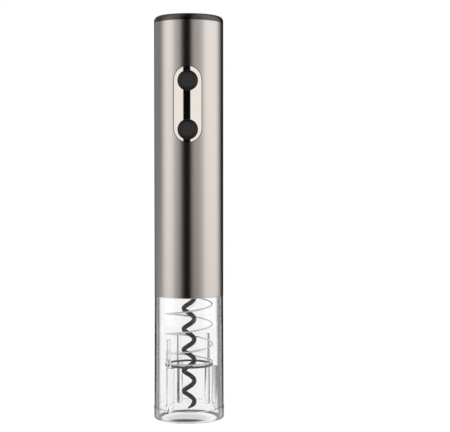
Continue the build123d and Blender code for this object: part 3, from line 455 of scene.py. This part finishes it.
PAINTED_EDGE_SHADE = (0.005, 0.005, 0.005)  # painted shade of clear plastic seen edge on
EDGE_GLANCE = (0.6, 0.2)  # from where on it shows: glancing share, softness
CELL_END = (0.66, 0.65, 0.62)
HAIRLINE = (0.12, 0.12, 9.0)  # long round the tube, fine along it
TURNED = (0.2, 0.2, 6.0)
finishes = {
    "satin_gunmetal": finish(
        "satin_gunmetal", (0.60, 0.555, 0.527), roughness=0.35, metallic=1.0, stretch=HAIRLINE,
        rough_spread=0.02, tint=0.02, bump=0.0, brushed=0.95),
    "dark_cap": finish(
        "dark_cap", (0.10, 0.096, 0.092), roughness=0.36, metallic=1.0, stretch=HAIRLINE,
        rough_spread=0.03, tint=0.05, bump=0.0, brushed=0.9),
    "polished_plate": finish(
        "polished_plate", (0.93, 0.86, 0.79), roughness=0.06, metallic=1.0, grain=260.0,
        rough_spread=0.02, tint=0.015, bump=0.004),
    "black_plastic": finish(
        "black_plastic", (0.020, 0.020, 0.020), roughness=0.42, grain=2600.0, bump=0.12),
    "clear_plastic": clear_finish("clear_plastic"),
    "dark_ring": finish(
        "dark_ring", (0.030, 0.030, 0.031), roughness=0.3, grain=1800.0, bump=0.03, specular=0.3),
    "spring_steel": finish(
        "spring_steel", (0.72, 0.72, 0.70), roughness=0.26, metallic=1.0, grain=2400.0),
    "worm_black": finish(
        "worm_black", (0.006, 0.006, 0.006), roughness=0.36, grain=2200.0, rough_spread=0.08, bump=0.08,
        specular=0.06),
    "machined_steel": finish(
        "machined_steel", (0.56, 0.56, 0.55), roughness=0.3, metallic=1.0, grain=700.0, stretch=TURNED,
        rough_spread=0.08, tint=0.05, bump=0.1),
    "zinc_screw": finish(
        "zinc_screw", (0.60, 0.60, 0.57), roughness=0.32, metallic=1.0, grain=1600.0, rough_spread=0.1,
        bump=0.1),
    "white_gear": finish(
        "white_gear", (0.80, 0.79, 0.74), roughness=0.36, grain=1800.0, bump=0.06),
    "bronze": finish(
        "bronze", (0.55, 0.36, 0.17), roughness=0.34, metallic=1.0, grain=1400.0, rough_spread=0.1,
        tint=0.12, bump=0.1),
    "motor_steel": finish(
        "motor_steel", (0.48, 0.48, 0.47), roughness=0.34, metallic=1.0, grain=600.0, stretch=TURNED,
        rough_spread=0.07, tint=0.05, bump=0.06),
    "magnet_grey": finish(
        "magnet_grey", (0.08, 0.08, 0.085), roughness=0.6, grain=1500.0, tint=0.15, bump=0.2),
    "copper_rotor": finish(
        "copper_rotor", (0.66, 0.32, 0.18), roughness=0.34, metallic=1.0, stretch=TURNED,
        rough_spread=0.08, tint=0.1, bump=0.1),
    "grey_chassis": finish(
        "grey_chassis", (0.17, 0.175, 0.18), roughness=0.48, grain=2200.0, bump=0.12),
    "contact_nickel": finish(
        "contact_nickel", (0.68, 0.66, 0.60), roughness=0.26, metallic=1.0, grain=1300.0,
        rough_spread=0.08),
    "cell_label": cell_finish("cell_label"),
    "board_green": finish(
        "board_green", (0.02, 0.14, 0.06), roughness=0.38, grain=1500.0, tint=0.2, bump=0.08),
}
slot_of = {part["node"]: part["material_slot"] for part in frame["record"]["subparts"]}
body_of = {node: body for body, held in frame["record"]["behaviour"]["bodies"].items() for node in held}

for name, thing in nodes.items():
    thing.data.materials.clear()
    thing.data.materials.append(finishes[slot_of[name]])


def stand_for(piece, node, body=None, look=None):
    """Put a finished piece in a node's place, on its body and with its slot's finish or another look."""
    piece.data.materials.clear()
    piece.data.materials.append(look or finishes[slot_of[node]])
    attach(piece, body or body_of[node])
    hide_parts(node)


def front_tool(name, outline):
    """A solid over an outline on the front, to cut the tube's wall or the plate with."""
    start, end = CUT_SPAN
    return prism(name, outline, start * body_radius, end * body_radius, front)


# Tube with the opening for the plate
tube_low, tube_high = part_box("body_tube")
body_radius = tube_high[0]
tube_inner = body_radius - TUBE_WALL
plate_low, plate_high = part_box("button_panel")
opening = stadium(plate_high[0] + PLATE_GAP, plate_low[2] - PLATE_GAP, plate_high[2] + PLATE_GAP)
tube = lathe("tube_shell", rounded([
    (tube_inner, tube_low[2], 0), (body_radius, tube_low[2], TUBE_EDGE),
    (body_radius, tube_high[2], TUBE_EDGE), (tube_inner, tube_high[2], 0)], steps=4), segments=384)
combine(tube, front_tool("opening", opening), "DIFFERENCE")
smooth(tube)
round_normals(tube)
stand_for(tube, "body_tube")

# Cap with its round edge and skirt
cap_low, cap_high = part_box("top_cap")
skirt_inner = CAP_SKIRT - CAP_SKIRT_WALL
ceiling = cap_high[2] - CAP_CEILING
cap = lathe("cap_shell", rounded([
    (0, cap_high[2], 0), (body_radius, cap_high[2], CAP_EDGE), (body_radius, tube_high[2], CAP_LINE),
    (CAP_SKIRT, tube_high[2], 0), (CAP_SKIRT, cap_low[2], CAP_SKIRT_EDGE),
    (skirt_inner, cap_low[2], CAP_SKIRT_EDGE), (skirt_inner, ceiling, 0), (0, ceiling, 0)],
    steps=10), segments=384)
smooth(cap)
stand_for(cap, "top_cap")

# Polished plate, bent to the tube
plate = lathe("plate_shell", [
    (tube_inner, plate_low[2] - PLATE_SPARE), (body_radius, plate_low[2] - PLATE_SPARE),
    (body_radius, plate_high[2] + PLATE_SPARE), (tube_inner, plate_high[2] + PLATE_SPARE)], segments=512)
outline = stadium(plate_high[0], plate_low[2], plate_high[2], steps=48)
combine(plate, front_tool("outline", outline), "INTERSECT")
button_nodes = ("extract_button", "eject_button")
for name in button_nodes:
    low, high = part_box(name)
    hole = disc(PLATE_HOLE, (low[2] + high[2]) / 2, steps=96)
    combine(plate, front_tool("hole", hole), "DIFFERENCE")
soften(plate, PLATE_EDGE)
smooth(plate, angle=50)
round_normals(plate)
stand_for(plate, "button_panel")

# Buttons, slightly dished, with a soft edge
rubber = finish("button_rubber", (0.036, 0.035, 0.034), roughness=0.5, grain=2600.0, bump=0.1)
for name in button_nodes:
    low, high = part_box(name)
    height = (low[2] + high[2]) / 2
    flange = (high[2] - low[2]) / 2
    face, back = -low[1], -high[1]
    outline = rounded([
        (BUTTON_RADIUS, face, BUTTON_EDGE), (BUTTON_RADIUS, back + BUTTON_FLANGE, 0),
        (flange, back + BUTTON_FLANGE, BUTTON_FLANGE_EDGE), (flange, back, BUTTON_FLANGE_EDGE),
        (0, back, 0)], steps=8)
    for step in range(BUTTON_DISH_STEPS, 0, -1):
        share = 1 - step / BUTTON_DISH_STEPS
        outline.append((BUTTON_RADIUS * share * BUTTON_DISHED, face - BUTTON_DISH * (1 - share ** 2)))
    button = lathe(name.replace("button", "key_top"), outline, segments=128)
    for vertex in button.data.vertices:
        x, y, z = vertex.co
        vertex.co = (x, -z, height + y)
    smooth(button, angle=40)
    stand_for(button, name, look=rubber)

# Clear cup with its foot band, spigot, guide ribs and screw holes
_, cup_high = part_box("clear_cup")
ring_low, ring_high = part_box("neck_ring")
cup_low_radius = CUP_TOP_RADIUS + CUP_DRAFT
foot_radius = cup_high[0]
spigot_inner = SPIGOT_RADIUS - SPIGOT_WALL
cup = lathe("cup_clear", rounded([
    (cup_low_radius - CUP_WALL, 0, CUP_MOUTH_EDGE), (foot_radius, 0, CUP_FOOT_EDGE),
    (foot_radius, CUP_FOOT_HEIGHT, CUP_STEP_EDGE),
    (cup_low_radius, CUP_FOOT_HEIGHT + CUP_FOOT_STAND, CUP_STEP_EDGE),
    (CUP_TOP_RADIUS, tube_low[2], CUP_SHOULDER_EDGE), (SPIGOT_RADIUS, tube_low[2], 0),
    (SPIGOT_RADIUS, cup_high[2], SPIGOT_EDGE), (spigot_inner, cup_high[2], SPIGOT_EDGE),
    (spigot_inner, tube_low[2] + SPIGOT_WALL, SPIGOT_EDGE),
    (CUP_TOP_RADIUS - CUP_WALL, tube_low[2], SPIGOT_EDGE)], steps=5))
rib_lower = ring_high[0] - RIB_BEARING
rib_upper = ring_high[0] + RIB_RELIEF
rib_top = ring_high[2] + RING_TRAVEL
rib_outline = rounded([
    (cup_low_radius - CUP_WALL / 2, RIB_BOTTOM, 0), (rib_lower + RIB_LEAD_DEPTH, RIB_BOTTOM, RIB_LEAD_EDGE),
    (rib_lower, RIB_BOTTOM + RIB_LEAD, RIB_LEAD_BEND), (rib_lower, ring_low[2], 0),
    (rib_upper, ring_low[2], 0), (rib_upper, rib_top, RIB_TOP_EDGE),
    (CUP_TOP_RADIUS - CUP_WALL / 2, rib_top, 0)], steps=4)
for angle in map(radians, RIB_ANGLES):
    rib = prism("rib", rib_outline, -RIB_THICKNESS / 2, RIB_THICKNESS / 2,
                lambda out, up, aside: turned(out, aside, up, angle))
    soften(rib, RIB_EDGE, segments=4)
    combine(cup, rib, "UNION")
screw_height = cup_high[2] - COLLAR_LENGTH / 2
for number in range(CUP_SCREW_COUNT):
    angle = CUP_SCREW_FIRST + 2 * pi * number / CUP_SCREW_COUNT
    for radius, start in ((CUP_SCREW_HOLE, CUP_SCREW_SPAN[0] * SPIGOT_RADIUS),
                          (CUP_SCREW_HEAD, SPIGOT_RADIUS - CUP_SCREW_SINK)):
        hole = prism("hole", disc(radius, screw_height, steps=32), start, CUP_SCREW_SPAN[1] * SPIGOT_RADIUS,
                     lambda aside, up, out: turned(out, aside, up, angle))
        combine(cup, hole, "DIFFERENCE")
smooth(cup, angle=30)
round_normals(cup)
stand_for(cup, "clear_cup")

# Neck ring
ring_bore = ring_high[0] - RING_WIDTH
ring = lathe("neck_ring_turned", rounded([
    (ring_bore, ring_low[2], RING_LEAD), (ring_high[0], ring_low[2], RING_EDGE),
    (ring_high[0], ring_high[2], RING_EDGE), (ring_bore, ring_high[2], RING_EDGE)], steps=5), segments=192)
smooth(ring)
stand_for(ring, "neck_ring")

# Spring: open turns, with a nearly flat turn at each end
spring_radius = ring_high[0] - SPRING_WIRE
spring_low = ring_high[2] + SPRING_WIRE + SPRING_SEAT
spring_high = cup_high[2] - SPRING_WIRE - SPRING_SEAT
coil_low = spring_low + SPRING_END_RISE
coil_high = spring_high - SPRING_END_RISE
end_pitch = SPRING_END_RISE / SPRING_END_TURN
low_angle = 2 * pi * (coil_low - SPRING_CROSSING) / SPRING_PITCH
high_angle = 2 * pi * (coil_high - SPRING_CROSSING) / SPRING_PITCH
path = [helix(spring_radius, end_pitch, coil_low, low_angle, height)
        for height in spread(spring_low, coil_low, SPRING_END_STEPS)[:-SPRING_BLEND]]
path += [helix(spring_radius, SPRING_PITCH, SPRING_CROSSING, 0, height)
         for height in spread(coil_low, coil_high, SPRING_COIL_STEPS)[SPRING_BLEND:-SPRING_BLEND]]
path += [helix(spring_radius, end_pitch, coil_high, high_angle, height)
         for height in spread(coil_high, spring_high, SPRING_END_STEPS)[SPRING_BLEND:]]
spring = wire("neck_spring_wire", path, [SPRING_WIRE] * len(path), sides=10)
smooth(spring, angle=60)
stand_for(spring, "neck_spring", "housing")
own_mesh(spring)

# Worm: ground point, open helix and a shank that runs up into the chuck
worm_low, worm_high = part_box("worm")
slope = WORM_PITCH / sqrt(WORM_PITCH ** 2 + (2 * pi * WORM_RADIUS) ** 2)
shank_foot = worm_high[2] - WORM_SHANK
coil_end = shank_foot - WORM_BEND * sqrt(1 - slope ** 2)
heights = spread(worm_low[2] + WORM_TIP_RISE, coil_end, WORM_COIL_STEPS)
path = [helix(WORM_RADIUS, WORM_PITCH, WORM_CROSSING, pi, height) for height in heights]
along = (path[-1] - path[-2]).normalized()
level = Vector((along.x, along.y, 0)).normalized()
bend_start, bend_turn = path[-1], pi / 2 - atan2(along.z, level.dot(along))
for step in range(1, WORM_BEND_STEPS + 1):
    lean = bend_turn * (1 - step / WORM_BEND_STEPS)
    path.append(bend_start + level * WORM_BEND * (cos(lean) - cos(bend_turn))
                + Vector((0, 0, WORM_BEND * (sin(bend_turn) - sin(lean)))))
path += [path[-1] + Vector((0, 0, WORM_SHANK * step / WORM_SHANK_STEPS))
         for step in range(1, WORM_SHANK_STEPS + 1)]
walked, radii = 0.0, []
for index, point in enumerate(path):
    walked += (point - path[index - 1]).length if index else 0
    share = min(1, walked / WORM_POINT)
    radii.append(WORM_WIRE * (WORM_TIP + (1 - WORM_TIP) * share ** WORM_TAPER))
worm = wire("worm_wire", path, radii, sides=20)
smooth(worm, angle=60)
stand_for(worm, "worm")

# Floor: plain white to the camera, white behind the cup with painted shadows under the tube and at the rim,
# and paper for soft light
FLOOR_WHITE = (16, 8, 5)  # how far the white behind the cup opens to the left, to the right, and its softness
FLOOR_STRIP = 27  # where the dark strip beside that white ends
FLOOR_SIDES = (90, 90, 50, 0.8)  # parts that the tube mirrors: middle angle, width, softness, strength
FLOOR_PAPER = (0.8, 0.79, 0.78, 1)
FLOOR_ROUGHNESS = 0.9
FLOOR_RADIUS = 500 * mm
FLOOR_CORNERS = 64
FLOOR_DARK = 0.01  # what reflections see of the rest
FLOOR_GLOW = 1.1  # added to that for the camera
FLOOR_SHADOW = 0.15  # share of plain paper that the camera sees, which shows the shadow
FLOOR_DROP = 0.3 * mm
PAINTED_SHADOWS = (  # painted shadows under the tube, which the cup shows: x and y of the middle, half width, half depth, strength
    (-1.5 * mm, -10.5 * mm, 11 * mm, 4.5 * mm, 0.9), (-1.5 * mm, -2 * mm, 15 * mm, 14 * mm, 0.3))
PAINTED_SHADOW_SOFTNESS = 0.8
PAINTED_RIM_SHADOW = (18.5 * mm, 27 * mm, 2 * mm, 0.85)  # painted shadow where the rim stands: radius from, to, softness, strength
floor = mesh_piece("floor", [(x, y, -FLOOR_DROP) for x, y in disc(FLOOR_RADIUS, 0, steps=FLOOR_CORNERS)],
                   [list(range(FLOOR_CORNERS))])
paper = bpy.data.materials.new("floor_paper")
paper.use_nodes = True
tree = paper.node_tree
surface = tree.nodes["Principled BSDF"]
surface.inputs["Base Color"].default_value = FLOOR_PAPER
surface.inputs["Roughness"].default_value = FLOOR_ROUGHNESS
place = node_of(tree, "ShaderNodeTexCoord")
parts = node_of(tree, "ShaderNodeSeparateXYZ")
tree.links.new(place.outputs["Object"], parts.inputs[0])
x, y = parts.outputs["X"], parts.outputs["Y"]
aside = maths(tree, "ABSOLUTE", maths(tree, "DEGREES", maths(tree, "ARCTAN2", x, y)))
middle, width, soft, strength = FLOOR_SIDES
sides = maths(tree, "MULTIPLY", window(tree, aside, middle - width / 2, middle + width / 2, soft), strength)
white = 1
for side, opening in zip((-1, 1), FLOOR_WHITE[:2]):
    past = maths(tree, "MULTIPLY_ADD", x, side, -CUP_TOP_RADIUS)
    angle = maths(tree, "DEGREES", maths(tree, "ARCTAN2", past, y))
    white = maths(tree, "SUBTRACT", white, step_up(tree, angle, opening, FLOOR_WHITE[2]))
    white = maths(tree, "ADD", white, step_up(tree, angle, FLOOR_STRIP, FLOOR_WHITE[2]))
# Painted shadows that the cup shows: the white behind it is darkened under the tube
for centre_x, centre_y, half_width, half_depth, strength in PAINTED_SHADOWS:
    across = maths(tree, "DIVIDE", maths(tree, "SUBTRACT", x, centre_x), half_width)
    along = maths(tree, "DIVIDE", maths(tree, "SUBTRACT", y, centre_y), half_depth)
    shade = maths(tree, "SUBTRACT", 1, step_up(tree, length_of(tree, across, along), 1, PAINTED_SHADOW_SOFTNESS))
    white = maths(tree, "MULTIPLY", white, maths(tree, "MULTIPLY_ADD", shade, -strength, 1))
# Painted shadow that the cup shows where its rim stands on the floor
rim_painted_shadow = window(tree, length_of(tree, x, y), *PAINTED_RIM_SHADOW[:3])
white = maths(tree, "MULTIPLY", white, maths(tree, "MULTIPLY_ADD", rim_painted_shadow, -PAINTED_RIM_SHADOW[3], 1))
seen = node_of(tree, "ShaderNodeLightPath")
mirrored = maths(tree, "SUBTRACT", seen.outputs["Is Glossy Ray"], seen.outputs["Is Transmission Ray"])
level = maths(tree, "MULTIPLY_ADD", seen.outputs["Is Camera Ray"], FLOOR_GLOW, FLOOR_DARK)
level = maths(tree, "MULTIPLY_ADD", sides, maths(tree, "MAXIMUM", mirrored, 0), level)
level = maths(tree, "MULTIPLY_ADD", white, seen.outputs["Is Transmission Ray"], level)
glow = node_of(tree, "ShaderNodeEmission")
tree.links.new(level, glow.inputs["Strength"])
paper_share = maths(tree, "MULTIPLY_ADD", seen.outputs["Is Camera Ray"], FLOOR_SHADOW,
                    seen.outputs["Is Diffuse Ray"])
show_either(tree, paper_share, glow.outputs[0], surface.outputs[0])
floor.data.materials.append(paper)

# Studio: soft boxes round the object by compass angle (0 towards the camera, + to its right) and height
# Each is (angle from, to, softness, height from, to, softness, strength), in degrees
SOFT_BOXES = (
    (-98, -43, 45, -60, 90, 20, 1.42),  # large box on the left
    (-155, -95, 20, -60, 90, 20, 0.33),  # its spill behind
    (-64, -16.7, 1.5, -1, 6.5, 2, 0.90),  # low card left of the camera
    (7.3, 64, 1.5, -4, 9, 3, 0.90),  # low card right of the camera
    (-80, -26, 8, -45, 45, 20, 0.62),  # faint screen left of the camera
    (14, 80, 10, -45, 45, 20, 0.64),  # faint screen right of the camera
    (45, 123, 45, -60, 90, 20, 1.45),  # large box on the right
)
# White that the cup shows all round, but for a dark strip each side: angle from, to, softness
BACKDROP = ((-190, -162, 6), (172, 190, 6), (-152, 155, 6))
AMBIENT = 0.003
world = bpy.data.worlds.new("studio")
bpy.context.scene.world = world
world.use_nodes = True
tree = world.node_tree
tree.nodes.clear()
place = node_of(tree, "ShaderNodeTexCoord")
parts = node_of(tree, "ShaderNodeSeparateXYZ")
tree.links.new(place.outputs["Generated"], parts.inputs[0])
compass = maths(tree, "DEGREES", maths(
    tree, "ARCTAN2", parts.outputs["X"], maths(tree, "MULTIPLY", parts.outputs["Y"], -1)))
height = maths(tree, "DEGREES", maths(tree, "ARCSINE", parts.outputs["Z"]))
light = AMBIENT
for start, end, soft, low, high, rise, strength in SOFT_BOXES:
    shape = maths(tree, "MULTIPLY", window(tree, compass, start, end, soft),
                  window(tree, height, low, high, rise))
    light = maths(tree, "MAXIMUM", light, maths(tree, "MULTIPLY", shape, strength))
seen = node_of(tree, "ShaderNodeLightPath")
for card in BACKDROP:
    shape = maths(tree, "MULTIPLY", window(tree, compass, *card), seen.outputs["Is Transmission Ray"])
    light = maths(tree, "MAXIMUM", light, shape)
sky = node_of(tree, "ShaderNodeBackground", {"Color": (1, 1, 1, 1)})
out = node_of(tree, "ShaderNodeOutputWorld")
tree.links.new(maths(tree, "MAXIMUM", light, seen.outputs["Is Camera Ray"]), sky.inputs["Strength"])
tree.links.new(sky.outputs[0], out.inputs["Surface"])

# Camera
LENS = 93.9  # focal length and sensor, in millimetres
SENSOR = 36.0
CAMERA_PLACE = (0.02417, -0.785, 0.1655)
CAMERA_DIP = 2.208  # degrees below level
lens = bpy.data.cameras.new("camera")
lens.lens = LENS
lens.sensor_width = SENSOR
camera = bpy.data.objects.new("camera", lens)
camera.location = CAMERA_PLACE
camera.rotation_euler = (radians(90 - CAMERA_DIP), 0, 0)
bpy.context.scene.collection.objects.link(camera)
bpy.context.scene.camera = camera
bpy.context.scene.view_settings.view_transform = "Standard"
